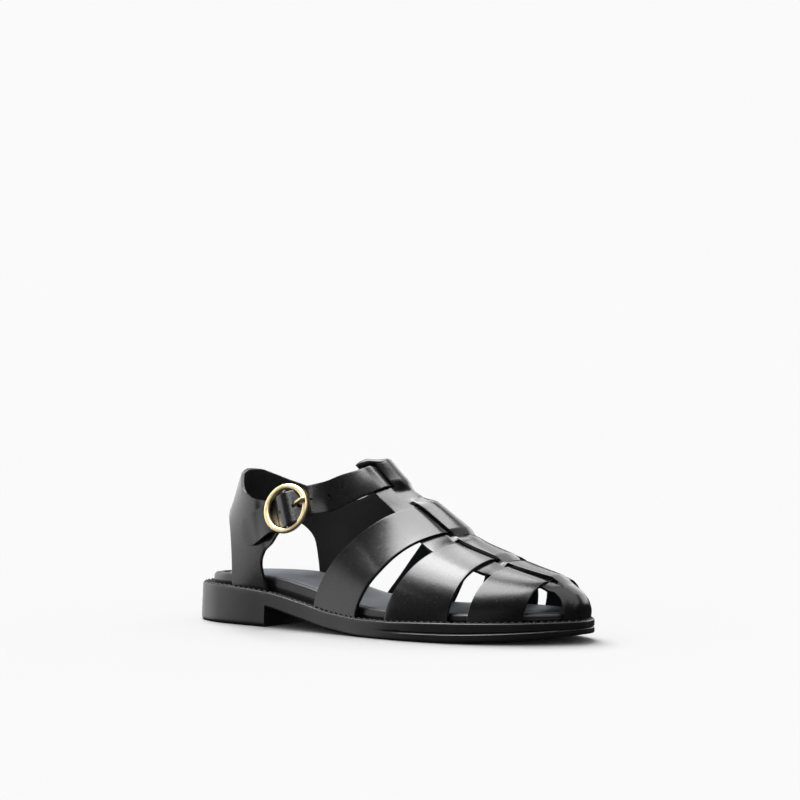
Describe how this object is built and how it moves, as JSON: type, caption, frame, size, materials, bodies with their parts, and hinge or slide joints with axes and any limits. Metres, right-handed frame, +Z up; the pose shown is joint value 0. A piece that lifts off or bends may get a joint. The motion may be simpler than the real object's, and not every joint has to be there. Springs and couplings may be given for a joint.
{
  "type": "fisherman sandal",
  "caption": "Low-heeled closed-toe leather sandal with woven cross straps on a T-bar band, open sides and a round ring buckle at the outer ankle.",
  "frame": {"origin": "on the floor under the middle of the heel, on the sole's long axis", "axes": "+X from heel to toe, +Y to the inner side of the foot, +Z up; the shoe stands on its heel and forefoot"},
  "size_m": [0.2589, 0.0888, 0.0984],
  "materials": {
    "sole_unit": "black, satin",
    "footbed_leather": "black, satin, rolled edge",
    "sock_leather": "dark blue-grey, fine matt grain",
    "upper_leather": "smooth black, semi-gloss, fine grain",
    "buckle_plate": "pale gold plate, polished"
  },
  "bodies": {
    "root": {"outsole": "sole_unit", "footbed": "footbed_leather", "sock_lining": "sock_leather", "upper": "upper_leather", "buckle_ring": "buckle_plate", "buckle_prong": "buckle_plate"}
  },
  "joints": []
}
